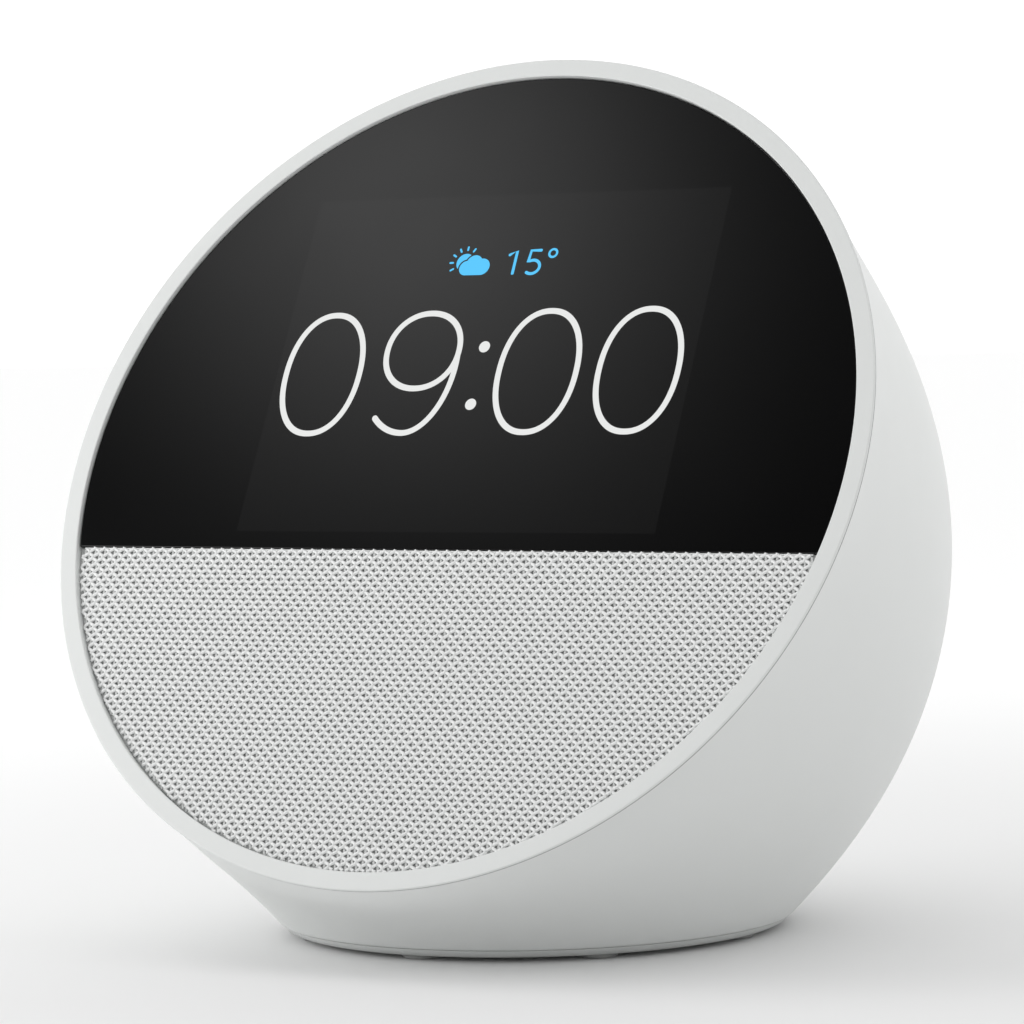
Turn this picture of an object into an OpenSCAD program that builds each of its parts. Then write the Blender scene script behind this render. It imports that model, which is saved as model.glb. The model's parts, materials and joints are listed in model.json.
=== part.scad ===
// Round bedside smart display: a tilted circular face with a display above and a
// knitted loudspeaker grille below, on a smooth shell that narrows to a flat foot.
// Millimetres, +Z up, the face looks towards -Y. The origin is under the middle of
// the body, on the surface that it stands on.

/* [Body] */
// Outer diameter of the face, and width of the body
face_d = 113; // [111:1:115]
// How far the face leans back from upright, in degrees
tilt = 28; // [26:1:30]
// Height of the centre of the seam behind the face
seam_z = 60; // [59:0.5:61]
// Place of the centre of that seam along Y
seam_y = -23.8; // [-26:0.1:-23]
// Wall thickness of the shell
wall = 2.2; // [2:0.1:2.4]
// How much the middle of the shell is narrowed from side to side, as a share of its width
side_trim = 0.07; // [0:0.002:0.1]
// Number of flat facets around the shell
shell_facets = 56; // [32:4:64]
// Number of steps from the seam down to the foot
shell_steps = 18; // [12:1:24]

/* [Face] */
// Width of the plain rim around the display and the grille
rim_w = 2.4; // [2.2:0.1:2.8]
// How far the glass lies below the front of the rim
glass_recess = 0.45; // [0.2:0.05:0.6]
// Thickness of the cover glass
glass_t = 1.1; // [0.8:0.1:1.1]
// Height of the line between display and grille, from the face centre
split_y = -11.9; // [-13:0.1:-11]
// Width of the display module
lcd_w = 60.4; // [56:0.2:61]
// Height of the display module
lcd_h = 46.8; // [42:0.2:47]
// Height of the middle of the display module, from the face centre
lcd_y = 13.8; // [13:0.1:14]

/* [Loudspeaker] */
// Height of the loudspeaker's axis, from the face centre
speaker_y = -30.5; // [-31:0.1:-30.2]
// Outer radius of the loudspeaker's flange
speaker_r = 21.5; // [20:0.1:21.5]
// How far the cone moves each way
cone_travel = 1; // [0.5:0.1:1]

/* [Buttons] */
// Diameter of each button's cap
button_d = 9; // [8:0.1:9]
// How far a button goes in
button_travel = 0.5; // [0.3:0.1:0.5]
// Angle from one button to the next around the shell
button_step = 17; // [16:1:19]

/* [Power inlet] */
// Place of the inlet on the back, as a share of the way from the seam to the foot
jack_u = 0.8; // [0.76:0.01:0.82]
// Inside diameter of the inlet's collar
collar_d = 10; // [9:0.5:10]

/* [Foot] */
// Height of the rubber feet
feet_h = 0.6; // [0.4:0.1:0.6]
// Number of rubber feet
feet_count = 8; // [4:4:8]

/* [Hidden] */
$fn = 64;

// Colours
shell_white = [0.86, 0.87, 0.86];
rim_white = [0.90, 0.91, 0.90];
knit_grey = [0.80, 0.81, 0.80];
glass_black = [0.03, 0.03, 0.035];
board_green = [0.05, 0.25, 0.15];
steel = [0.65, 0.66, 0.68];
dark_plastic = [0.12, 0.12, 0.13];
flex_orange = [0.55, 0.33, 0.08];
rubber_grey = [0.35, 0.36, 0.36];

// Planes of the shell: its sections turn about the line where the seam plane meets the foot plane
foot_z = 1.6;                     // underside of the shell
face_r = face_d / 2;
face_lift = 0.4;                  // front of the rim, ahead of the seam plane
seam_gap = 0.15;                  // shadow gap behind the rim and above the base plate
swing = 90 - tilt;                // angle between the two planes
hinge_y = seam_y - (seam_z - foot_z) * tan(tilt);
seam_reach = (seam_z - foot_z) / cos(tilt);
back_reach = [seam_reach + face_r, 119.2, 136.8, 106.4, 81.7];
front_reach = [seam_reach - face_r, 7.5, 16.7];
foot_r = (back_reach[4] - front_reach[2]) / 2;
foot_y = hinge_y + (back_reach[4] + front_reach[2]) / 2;

// Step inside the front edge of the shell that takes the bezel
step_w = 1;
step_depth = 1.6;

// Layers of the face, as distances behind the front of the rim
bezel_depth = 1.8;
glass_back = glass_recess + glass_t;
ledge_front = glass_back + 0.2;
ledge_back = ledge_front + 0.55;
opening_r = face_r - rim_w;
frame_front = ledge_back + 0.05;
frame_back = 5.2;
frame_r = 53;
segment_floor = 3.4;              // floor of the recess for the grille frame
window_gap = 1.3;                 // clearance each side of the display module in the frame
lcd_back = 3.9;
light_back = 5.45;
tray_back = 5.8;
board_front = 12;
board_back = 13.2;

// Bezel screws: angles around the face
bezel_boss_angles = [15, 70, 110, 165];
bezel_boss_at = 49.9;

// Main board
board_w = 76;
board_h = 38;
board_y = 11;
board_post_x = 35;
board_post_y = 15;

// Loudspeaker screws
ear_r = 22.3;

// Buttons, microphones and their place on the shell
button_u = 0.17;
button_r = button_d / 2;
button_angles = [-button_step, 0, button_step];
mic_angles = [-button_step / 2, button_step / 2];
stem_bottom = -6.4;
switch_top = stem_bottom - button_travel - 0.05;
carrier_top = -4.2;
carrier_bottom = -5.7;

// A value between the control values in c, at u from 0 to 1 (a Bezier curve)
function between(c, u) =
    len(c) == 1 ? c[0]
    : between([for (i = [0 : len(c) - 2]) c[i] * (1 - u) + c[i + 1] * u], u);

// A point of the shell: u runs from the seam to the foot, a from the back round to the front
function shell_point(u, a, inset = 0) =
    let (turn = swing * (1 - u))
    let (back = between(back_reach, u) - inset)
    let (front = between(front_reach, u) + inset)
    let (half_w = (back - front + 2 * inset) / 2 * (1 - 4 * side_trim * u * (1 - u)) - inset)
    let (d = (back + front) / 2 + (back - front) / 2 * cos(a))
    [half_w * sin(a), hinge_y + d * cos(turn), foot_z + d * sin(turn)];

// The outward direction at that point
function unit(v) = v / norm(v);
function shell_normal(u, a) =
    let (along = shell_point(u + 0.001, a) - shell_point(u - 0.001, a))
    let (around = shell_point(u, a + 0.1) - shell_point(u, a - 0.1))
    unit(cross(around, along));

// Power inlet: its collar starts on the shell's slanted back
jack_mouth = shell_point(jack_u, 0);
jack_z = jack_mouth[2];
jack_slope = asin(-shell_normal(jack_u, 0)[2]);
collar_wall = 1;
jack_front = jack_mouth[1] - 6.2;
jack_length = 9.6;
power_board_y = jack_front - jack_length - 1.3;

// One ring of points around the shell, moved back from the seam plane by shift
function ring(u, inset, shift = 0) =
    [for (i = [0 : shell_facets - 1])
        shell_point(u, 360 * i / shell_facets, inset) + shift * [0, cos(tilt), -sin(tilt)]];

// Places children on the tilted face: X right, Y up the face, Z out of it
module on_face(y = 0, depth = 0) {
    translate([0, seam_y - face_lift * cos(tilt), seam_z + face_lift * sin(tilt)])
        rotate([90 - tilt, 0, 0])
            translate([0, y, -depth])
                children();
}

// A disc behind the face: from one depth to another
module face_disc(r, front, back, x = 0, y = 0) {
    translate([x, y, -back])
        cylinder(r = r, h = back - front);
}

// A block behind the face, centred on x and y
module face_block(w, h, front, back, x = 0, y = 0) {
    translate([x - w / 2, y - h / 2, -back])
        cube([w, h, back - front]);
}

// A ring behind the face
module face_ring(outer, inner, front, back, y = 0) {
    difference() {
        face_disc(outer, front, back, 0, y);
        face_disc(inner, front - 1, back + 1, 0, y);
    }
}

// The part of a disc below the line at top_y
module face_segment(r, top_y, front, back) {
    intersection() {
        face_disc(r, front, back);
        face_block(2 * r + 2, 2 * r, front - 1, back + 1, 0, top_y - r);
    }
}

// Places children on the shell, with Z along its outward direction
module on_shell(u, a) {
    n = shell_normal(u, a);
    translate(shell_point(u, a))
        rotate([0, acos(n[2]), atan2(n[1], n[0])])
            children();
}

// A screw with its head at Z = 0 and its shank pointing up
module screw(head_r, head_h, shank_r, shank_h) {
    translate([0, 0, -head_h])
        cylinder(r = head_r, h = head_h, $fn = 32);
    translate([0, 0, -0.01])
        cylinder(r = shank_r, h = shank_h + 0.01, $fn = 24);
}

// A round wire along a smooth curve that a few guide points steer
module wire(guides, r) {
    steps = 12;
    sides = 8;
    path = [for (i = [0 : steps]) between(guides, i / steps)];
    points = [
        for (i = [0 : steps])
            let (d = unit(path[min(i + 1, steps)] - path[max(i - 1, 0)]))
            let (s = unit(cross(d, [1, 0, 0])), t = cross(d, s))
            for (k = [0 : sides - 1])
                path[i] + r * (cos(360 * k / sides) * s + sin(360 * k / sides) * t)
    ];
    walls = [
        for (i = [0 : steps - 1])
            for (k = [0 : sides - 1])
                let (next = (k + 1) % sides)
                [i * sides + k, (i + 1) * sides + k, (i + 1) * sides + next, i * sides + next]
    ];
    start_cap = [for (k = [0 : sides - 1]) k];
    end_cap = [for (k = [sides - 1 : -1 : 0]) steps * sides + k];
    polyhedron(points = points, faces = concat(walls, [start_cap, end_cap]));
}

module rear_shell() {
    outer = [for (i = [0 : shell_steps]) ring(i / shell_steps, 0)];
    inner_steps = 10;
    inner_from = 0.2;
    inner = [for (i = [inner_steps : -1 : 0])
        ring(inner_from + (1 - inner_from) * i / inner_steps, wall)];
    rings = concat(outer, inner, [ring(0, wall, step_depth), ring(0, step_w, step_depth), ring(0, step_w)]);
    m = shell_facets;
    count = len(rings);
    faces = [
        for (k = [0 : count - 1])
            for (i = [0 : m - 1])
                for (half = [0, 1])
                    let (p = k * m + i, q = k * m + (i + 1) % m)
                    let (r = ((k + 1) % count) * m + i, s = ((k + 1) % count) * m + (i + 1) % m)
                    half == 0 ? [p, q, s] : [p, s, r]
    ];
    color(shell_white)
        difference() {
            polyhedron(points = [for (one = rings) for (p = one) p], faces = faces);
            for (a = button_angles)
                on_shell(button_u, a) {
                    translate([0, 0, -9])
                        cylinder(r = button_r + 0.3, h = 12);
                    translate([0, 0, -9])
                        cylinder(r = button_r + 1.4, h = 7);
                }
            for (a = mic_angles)
                on_shell(button_u, a)
                    translate([0, 0, -9])
                        cylinder(r = 0.5, h = 12, $fn = 24);
            translate([0, jack_front - 6, jack_z])
                rotate([-90, 0, 0])
                    cylinder(r = collar_d / 2 + collar_wall + 0.1, h = 20);
        }
}

module front_bezel() {
    edge = 0.25;                  // rounding of the rim's outer corner
    lip = 0.3;                    // rounding of its inner corner
    steps = 4;
    outer_arc = [for (i = [0 : steps])
        let (t = 90 * i / steps) [face_r - edge + edge * sin(t), edge * cos(t) - edge]];
    inner_arc = [for (i = [0 : steps])
        let (t = 90 * i / steps) [opening_r + lip - lip * cos(t), lip * sin(t) - lip]];
    color(rim_white)
        on_face()
            difference() {
                union() {
                    rotate_extrude($fn = 128)
                        polygon(concat(inner_arc, outer_arc, [
                            [face_r - step_w - 0.2, -edge],
                            [face_r - step_w - 0.2, -bezel_depth],
                            [opening_r + 0.1, -bezel_depth],
                            [opening_r + 0.1, -ledge_back],
                            [opening_r - 2.2, -ledge_back],
                            [opening_r - 2.2, -ledge_front],
                            [opening_r, -ledge_front]
                        ]));
                    for (a = bezel_boss_angles)
                        face_disc(2.6, ledge_front, frame_back + 0.1,
                            bezel_boss_at * cos(a), bezel_boss_at * sin(a));
                }
                face_segment(opening_r, split_y + 0.3, ledge_front - 0.1, ledge_back + 0.1);
                for (a = bezel_boss_angles)
                    face_disc(1.05, ledge_back, frame_back + 1,
                        bezel_boss_at * cos(a), bezel_boss_at * sin(a));
            }
}

module display_glass() {
    color(glass_black)
        on_face()
            difference() {
                face_disc(opening_r - 0.2, glass_recess, glass_back);
                face_block(2 * face_r, face_d, glass_recess - 1, glass_back + 1, 0, split_y - face_r);
            }
}

module glass_adhesive() {
    color(dark_plastic)
        on_face()
            difference() {
                face_ring(opening_r - 0.3, opening_r - 1.4, glass_back + 0.02, ledge_front - 0.02);
                face_segment(face_r, split_y + 0.5, glass_back, ledge_front);
            }
}

module optical_adhesive() {
    color([0.8, 0.8, 0.82])
        on_face()
            face_block(lcd_w + 0.6, lcd_h + 0.6, glass_back + 0.01, glass_back + 0.15, 0, lcd_y);
}

module touch_sensor() {
    color([0.5, 0.5, 0.45])
        on_face()
            face_block(lcd_w + 0.6, lcd_h + 0.6, glass_back + 0.16, glass_back + 0.4, 0, lcd_y);
}

module lcd_panel() {
    color([0.08, 0.09, 0.1])
        on_face()
            face_block(lcd_w, lcd_h, glass_back + 0.45, lcd_back, 0, lcd_y);
}

module backlight() {
    color([0.92, 0.92, 0.9])
        on_face()
            face_block(lcd_w, lcd_h, lcd_back + 0.05, light_back, 0, lcd_y);
}

module lcd_tray() {
    color(steel)
        on_face()
            difference() {
                face_block(lcd_w + 1.4, lcd_h + 1.4, lcd_back - 0.9, tray_back, 0, lcd_y);
                face_block(lcd_w + 0.6, lcd_h + 0.6, lcd_back - 1, light_back + 0.05, 0, lcd_y);
            }
}

module display_flex() {
    flex_w = 14;
    flex_t = 0.3;
    tray_end = 30;
    board_end = 22;
    color(flex_orange)
        on_face()
            translate([-flex_w / 2, 0, 0])
                rotate([90, 0, 90])
                    linear_extrude(height = flex_w)
                        polygon([
                            [tray_end, -tray_back - 0.03],
                            [board_end, -board_front + 1.33],
                            [board_end + flex_t, -board_front + 1.33],
                            [tray_end + flex_t, -tray_back - 0.03]
                        ]);
}

module light_sensor() {
    color(dark_plastic)
        on_face()
            face_block(3, 2, glass_back + 0.02, frame_front - 0.03, 0, 44);
}

module grille_fabric() {
    corner = 1.6;
    knit_r = opening_r - 0.25;
    top = split_y - 0.15;
    half = sqrt(pow(knit_r - corner, 2) - pow(top - corner, 2));
    color(knit_grey)
        on_face()
            difference() {
                face_segment(knit_r, top, glass_recess + 0.2, glass_back - 0.05);
                for (side = [-1, 1])
                    difference() {
                        face_block(2 * corner + 2, 2 * corner, 0, glass_back + 1,
                            side * (half + corner + 1), top);
                        face_disc(corner, -1, glass_back + 2, side * half, top - corner);
                    }
            }
}

module grille_frame() {
    pitch = 4.4;
    hole_r = 1.5;
    rows = 4;
    color(dark_plastic)
        on_face()
            difference() {
                face_segment(opening_r - 0.2, split_y - 0.2, glass_back, segment_floor - 0.1);
                for (row = [-rows : rows])
                    for (col = [-rows : rows]) {
                        x = (col + (abs(row) % 2) / 2) * pitch;
                        y = row * pitch * sin(60);
                        if (norm([x, y]) < 17)
                            face_disc(hole_r, glass_back - 1, segment_floor + 1, x, speaker_y + y, $fn = 24);
                    }
            }
}

module mid_frame() {
    color([0.2, 0.2, 0.21])
        on_face()
            difference() {
                union() {
                    face_disc(frame_r, frame_front, frame_back);
                    for (sx = [-1, 1])
                        for (sy = [-1, 1])
                            face_disc(2.3, frame_back - 1, board_front - 0.05,
                                sx * board_post_x, board_y + sy * board_post_y);
                }
                face_segment(frame_r + 1, split_y, frame_front - 1, segment_floor);
                face_block(lcd_w + 2 * window_gap, lcd_h + 2 * window_gap,
                    frame_front - 1, frame_back + 0.01, 0, lcd_y);
                face_disc(18.6, segment_floor - 1, frame_back + 1, 0, speaker_y);
                for (a = bezel_boss_angles)
                    face_disc(2.9, frame_front - 1, frame_back + 1,
                        bezel_boss_at * cos(a), bezel_boss_at * sin(a));
                for (sx = [-1, 1])
                    for (sy = [-1, 1])
                        face_disc(0.95, board_front - 5, board_front + 1,
                            sx * board_post_x, board_y + sy * board_post_y, $fn = 24);
                for (a = [45 : 90 : 315])
                    face_disc(0.95, segment_floor - 1, frame_back + 1,
                        ear_r * cos(a), speaker_y + ear_r * sin(a), $fn = 24);
            }
}

module bezel_screws() {
    color(steel)
        on_face()
            for (a = bezel_boss_angles)
                translate([bezel_boss_at * cos(a), bezel_boss_at * sin(a), -frame_back - 0.15])
                    screw(3.2, 1.2, 1, 2.4);
}

module speaker_gasket() {
    color(rubber_grey)
        on_face()
            face_ring(20, 18.7, frame_back + 0.02, 6, speaker_y);
}

module speaker_basket() {
    rim_front = 6.05;
    rim_back = 7.25;
    color([0.15, 0.15, 0.16])
        on_face(speaker_y) {
            difference() {
                union() {
                    rotate_extrude()
                        polygon([
                            [18.9, -rim_front], [speaker_r, -rim_front], [speaker_r, -rim_back],
                            [19.9, -rim_back], [12.4, -15.1], [12.4, -16.5], [7.4, -16.5],
                            [7.4, -15.5], [11.6, -15.5], [11.6, -15], [18.9, -rim_back]
                        ]);
                    for (a = [45 : 90 : 315])
                        face_disc(2.5, rim_front, rim_back, ear_r * cos(a), ear_r * sin(a));
                }
                for (a = [0 : 60 : 150])
                    rotate([0, 0, a])
                        face_block(2 * speaker_r + 2, 7.5, rim_back + 0.9, 14.4);
                for (a = [45 : 90 : 315])
                    face_disc(1.05, rim_front - 1, rim_back + 1, ear_r * cos(a), ear_r * sin(a), $fn = 24);
                face_disc(18.3, rim_front - 1, rim_front + 1);
            }
        }
}

module speaker_surround() {
    roll_r = 1.7;
    roll_at = 16.5;
    steps = 8;
    color(rubber_grey)
        on_face(speaker_y)
            rotate_extrude()
                translate([roll_at, -6.9])
                    polygon(concat(
                        [[-roll_r - 0.3, 0]],
                        [for (i = [0 : steps])
                            let (t = 180 - 180 * i / steps) roll_r * [cos(t), sin(t)]],
                        [[roll_r + 0.6, 0], [roll_r + 0.6, -0.35], [roll_r - 0.35, -0.35]],
                        [for (i = [0 : steps])
                            let (t = 180 * i / steps) (roll_r - 0.35) * [cos(t), sin(t)]],
                        [[-roll_r - 0.3, -0.35]]
                    ));
}

module speaker_cone() {
    color([0.1, 0.1, 0.11])
        on_face(speaker_y)
            rotate_extrude()
                polygon([[14.1, -6.6], [14.1, -7.1], [5.6, -13], [5.05, -13], [5.05, -12.4], [13.6, -6.6]]);
}

module dust_cap() {
    cap_r = 6.2;
    steps = 6;
    color([0.1, 0.1, 0.11])
        on_face(speaker_y)
            rotate_extrude()
                polygon(concat(
                    [for (i = [0 : steps])
                        let (t = 90 * i / steps) [cap_r * sin(t), -11.2 + 1.6 * cos(t)]],
                    [for (i = [0 : steps])
                        let (t = 90 - 90 * i / steps)
                        [(cap_r - 0.35) * sin(t), -11.2 + (1.6 - 0.35) * cos(t)]]
                ));
}

module voice_coil() {
    color([0.7, 0.4, 0.2])
        on_face(speaker_y)
            difference() {
                face_disc(5.55, 13.02, 19.2);
                face_disc(5, 12, 20);
            }
}

module spider() {
    color([0.75, 0.6, 0.3])
        on_face(speaker_y)
            face_ring(11.4, 5.9, 14.9, 15.2);
}

module top_plate() {
    color(steel)
        on_face(speaker_y)
            face_ring(13.5, 6.1, 16.55, 18.4);
}

module speaker_magnet() {
    color([0.25, 0.25, 0.26])
        on_face(speaker_y)
            face_ring(15, 8, 18.42, 24.4);
}

module yoke() {
    color(steel)
        on_face(speaker_y) {
            face_disc(14, 24.42, 26.4);
            face_disc(4.4, 16.6, 25);
        }
}

module speaker_screws() {
    color(steel)
        on_face(speaker_y)
            for (a = [45 : 90 : 315])
                translate([ear_r * cos(a), ear_r * sin(a), -7.3])
                    screw(1.8, 1.1, 0.85, 3.5);
}

module speaker_wires() {
    color([0.6, 0.1, 0.1])
        on_face()
            for (side = [-1, 1])
                wire([
                    [side * 1.2, -17.2, -15.7], [side * 1.2, -12, -16], [side * 1.2, -6, -22],
                    [side * 1.2, -4.4, -16.1]
                ], 0.45);
}

module main_board() {
    color(board_green)
        on_face()
            difference() {
                face_block(board_w, board_h, board_front, board_back, 0, board_y);
                for (sx = [-1, 1])
                    for (sy = [-1, 1])
                        face_disc(1.1, board_front - 1, board_back + 1,
                            sx * board_post_x, board_y + sy * board_post_y, $fn = 24);
            }
}

module board_screws() {
    color(steel)
        on_face()
            for (sx = [-1, 1])
                for (sy = [-1, 1])
                    translate([sx * board_post_x, board_y + sy * board_post_y, -board_back - 0.05])
                        screw(1.9, 1.2, 0.85, 4.6);
}

module processor() {
    color([0.1, 0.1, 0.1])
        on_face()
            face_block(12, 12, board_back + 0.01, board_back + 1, -8, 14);
}

module memory_chip() {
    color([0.1, 0.1, 0.1])
        on_face()
            face_block(9, 11, board_back + 0.01, board_back + 0.9, 6, 14);
}

module thermal_pad() {
    color([0.6, 0.7, 0.8])
        on_face()
            face_block(12, 12, board_back + 1.02, board_back + 1.85, -8, 14);
}

module shield_can() {
    color([0.78, 0.78, 0.75])
        on_face()
            difference() {
                face_block(31, 20, board_back + 0.01, board_back + 2.2, -1, 14);
                face_block(30.4, 19.4, board_back - 1, board_back + 1.9, -1, 14);
            }
}

module heat_spreader() {
    color([0.8, 0.81, 0.82])
        on_face() {
            face_block(44, 26, board_back + 2.25, board_back + 3.8, 0, 14);
            for (side = [-1, 1])
                face_block(3, 26, board_back + 0.05, board_back + 3, side * 20.5, 14);
        }
}

module board_connectors() {
    color([0.9, 0.88, 0.8])
        on_face() {
            face_block(16, 3, board_front - 1.3, board_front - 0.02, 0, 21.8);
            face_block(6, 4, board_back + 0.02, board_back + 2.8, 27, -2);
            face_block(8, 4, board_back + 0.02, board_back + 2.2, -27, 20);
            face_block(6, 4, board_back + 0.02, board_back + 2.8, 0, -4.4);
        }
}

module antennas() {
    color(flex_orange)
        on_face()
            for (side = [-1, 1])
                face_block(0.4, 18, frame_back + 0.05, 13.5, side * 42, 12);
}

module support_frame() {
    arm_x = 25;
    arm_w = 3;
    top_y = seam_y - 8.8;
    top_z = seam_z - 36 * cos(tilt);
    color([0.2, 0.2, 0.21]) {
        difference() {
            union() {
                translate([0, foot_y, 4.2])
                    cylinder(r = 27.5, h = 1.6);
                for (a = [90, 210, 330])
                    translate([21 * cos(a), foot_y + 21 * sin(a), 1.55])
                        cylinder(r = 3, h = 3);
            }
            translate([0, foot_y, 4])
                cylinder(r = 15.5, h = 2);
            for (a = [90, 210, 330])
                translate([21 * cos(a), foot_y + 21 * sin(a), 1])
                    cylinder(r = 1.05, h = 6, $fn = 24);
        }
        for (side = [-1, 1])
            translate([side * arm_x - arm_w / 2, 0, 0])
                rotate([90, 0, 90])
                    linear_extrude(height = arm_w)
                        polygon([
                            [foot_y - 9, 5], [foot_y + 9, 5], [foot_y + 4, 8],
                            [top_y, top_z + 2.6], [top_y - 3.55, top_z - 4.1]
                        ]);
    }
}

module button_carrier() {
    color(dark_plastic) {
        difference() {
            union() {
                for (a = button_angles)
                    on_shell(button_u, a)
                        translate([0, 0, carrier_bottom])
                            cylinder(r = 4.4, h = carrier_top - carrier_bottom);
                for (a = mic_angles)
                    on_shell(button_u, a)
                        translate([-2.2, -3.6, carrier_bottom + 0.2])
                            cube([4.4, 7.2, carrier_top - carrier_bottom - 0.4]);
            }
            for (a = button_angles)
                on_shell(button_u, a)
                    translate([0, 0, carrier_bottom - 1])
                        cylinder(r = 1.65, h = 4);
            for (a = mic_angles)
                on_shell(button_u, a)
                    translate([0, 0, carrier_bottom - 1])
                        cylinder(r = 1.4, h = 4);
        }
    }
}

module button_board() {
    color(board_green)
        for (a = button_angles)
            on_shell(button_u, a)
                translate([-4.5, -4.5, switch_top - 2.4])
                    cube([9, 9, 0.8]);
}

module button_switches() {
    color(steel)
        for (a = button_angles)
            on_shell(button_u, a) {
                translate([-2.2, -2.2, switch_top - 1.58])
                    cube([4.4, 4.4, 1.2]);
                translate([0, 0, switch_top - 0.5])
                    cylinder(r = 1.1, h = 0.5, $fn = 32);
            }
}

module button_flex() {
    color(flex_orange)
        for (a = mic_angles)
            on_shell(button_u, a)
                translate([-3, -4, switch_top - 2.9])
                    cube([6, 8, 0.2]);
}

// A round push button with a domed cap, a hidden flange and a stem
module push_button(a) {
    dome_rise = 0.4;
    steps = 5;
    dome = [for (i = [0 : steps])
        let (r = button_r * (1 - i / steps)) [r, dome_rise * (1 - pow(r / button_r, 2)) - 0.02]];
    color(shell_white)
        on_shell(button_u, a)
            rotate_extrude($fn = 96)
                polygon(concat(
                    [[0, stem_bottom], [1.5, stem_bottom], [1.5, -3.15], [button_r + 0.9, -3.15],
                    [button_r + 0.9, -2.2], [button_r, -2.2], [button_r, -0.2], [button_r - 0.12, -0.03]],
                    [for (i = [1 : steps]) dome[i]]
                ));
}

module volume_down_button() {
    push_button(button_angles[0]);
}

module action_button() {
    push_button(button_angles[1]);
}

module volume_up_button() {
    push_button(button_angles[2]);
}

module microphones() {
    color(steel)
        for (a = mic_angles)
            on_shell(button_u, a)
                translate([-1.8, -1.4, carrier_bottom - 0.9])
                    cube([3.6, 2.8, 1]);
}

module mic_seals() {
    color(rubber_grey)
        for (a = mic_angles)
            on_shell(button_u, a)
                difference() {
                    translate([0, 0, -4.55])
                        cylinder(r = 1.3, h = 1.9, $fn = 32);
                    translate([0, 0, -6])
                        cylinder(r = 0.6, h = 5, $fn = 24);
                }
}

module power_board() {
    color(board_green)
        translate([-12, power_board_y, jack_z - 9])
            cube([24, 1.2, 20]);
}

module dc_jack() {
    body_w = 9;
    color(dark_plastic)
        translate([0, jack_front, jack_z])
            rotate([90, 0, 0]) {
                difference() {
                    translate([-body_w / 2, -body_w / 2, 0])
                        cube([body_w, body_w, jack_length]);
                    translate([0, 0, -1])
                        cylinder(r = 2.75, h = 9);
                }
                translate([0, 0, 0.8])
                    cylinder(r = 0.85, h = 8, $fn = 24);
            }
}

module jack_collar() {
    outer_r = collar_d / 2 + collar_wall;
    color(shell_white)
        difference() {
            translate([0, jack_front + 0.1, jack_z])
                rotate([-90, 0, 0])
                    cylinder(r = outer_r, h = 12);
            translate([0, jack_front - 1, jack_z])
                rotate([-90, 0, 0])
                    cylinder(r = collar_d / 2, h = 16);
            translate(jack_mouth)
                rotate([-jack_slope, 0, 0])
                    translate([-10, 0, -15])
                        cube([20, 20, 30]);
        }
}

module power_wires() {
    color([0.15, 0.15, 0.15])
        for (side = [-1, 1])
            wire([
                [27 + side * 0.8, -8, 50.6], [27 + side * 0.8, 10, 41], [20 + side * 0.8, 12, 31],
                [8 + side * 0.8, power_board_y - 0.25, 31]
            ], 0.6);
}

module base_plate() {
    color(shell_white)
        translate([0, foot_y, 0])
            difference() {
                union() {
                    rotate_extrude($fn = 128)
                        polygon([
                            [0, feet_h], [foot_r - 1.3, feet_h], [foot_r - 0.45, 1.1],
                            [foot_r - 0.3, foot_z - seam_gap], [0, foot_z - seam_gap]
                        ]);
                    difference() {
                        translate([0, 0, 1.3])
                            cylinder(r = foot_r - wall - 0.7, h = 2.7);
                        translate([0, 0, 1.2])
                            cylinder(r = foot_r - wall - 2, h = 4);
                    }
                }
                for (a = [90, 210, 330])
                    translate([21 * cos(a), 21 * sin(a), 0])
                        cylinder(r = 1.3, h = 3, $fn = 24);
            }
}

module rubber_feet() {
    foot_pad_r = 2.6;
    color(rubber_grey)
        for (i = [0 : feet_count - 1])
            translate([0, foot_y, 0])
                rotate([0, 0, 360 * i / feet_count])
                    translate([0, -(foot_r - 1.5 - foot_pad_r), 0])
                        rotate_extrude($fn = 48)
                            polygon([
                                [0, 0], [foot_pad_r - 0.7, 0], [foot_pad_r - 0.2, 0.2],
                                [foot_pad_r, feet_h - 0.02], [0, feet_h - 0.02]
                            ]);
}

module base_screws() {
    color(steel)
        translate([0, foot_y, 0])
            for (a = [90, 210, 330])
                translate([21 * cos(a), 21 * sin(a), 0.58])
                    screw(2.2, 0.3, 1, 3.9);
}

rear_shell();
front_bezel();
display_glass();
glass_adhesive();
optical_adhesive();
touch_sensor();
lcd_panel();
backlight();
lcd_tray();
display_flex();
light_sensor();
grille_fabric();
grille_frame();
mid_frame();
bezel_screws();
speaker_gasket();
speaker_basket();
speaker_surround();
speaker_cone();
dust_cap();
voice_coil();
spider();
top_plate();
speaker_magnet();
yoke();
speaker_screws();
speaker_wires();
main_board();
board_screws();
processor();
memory_chip();
thermal_pad();
shield_can();
heat_spreader();
board_connectors();
antennas();
support_frame();
button_carrier();
button_board();
button_switches();
button_flex();
volume_down_button();
action_button();
volume_up_button();
microphones();
mic_seals();
power_board();
dc_jack();
jack_collar();
power_wires();
base_plate();
rubber_feet();
base_screws();
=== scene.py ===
"""A round bedside smart display: its looks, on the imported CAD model. Lengths are in millimetres."""

import json
import math

import bmesh
import bpy
from mathutils import Matrix, Vector


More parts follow.
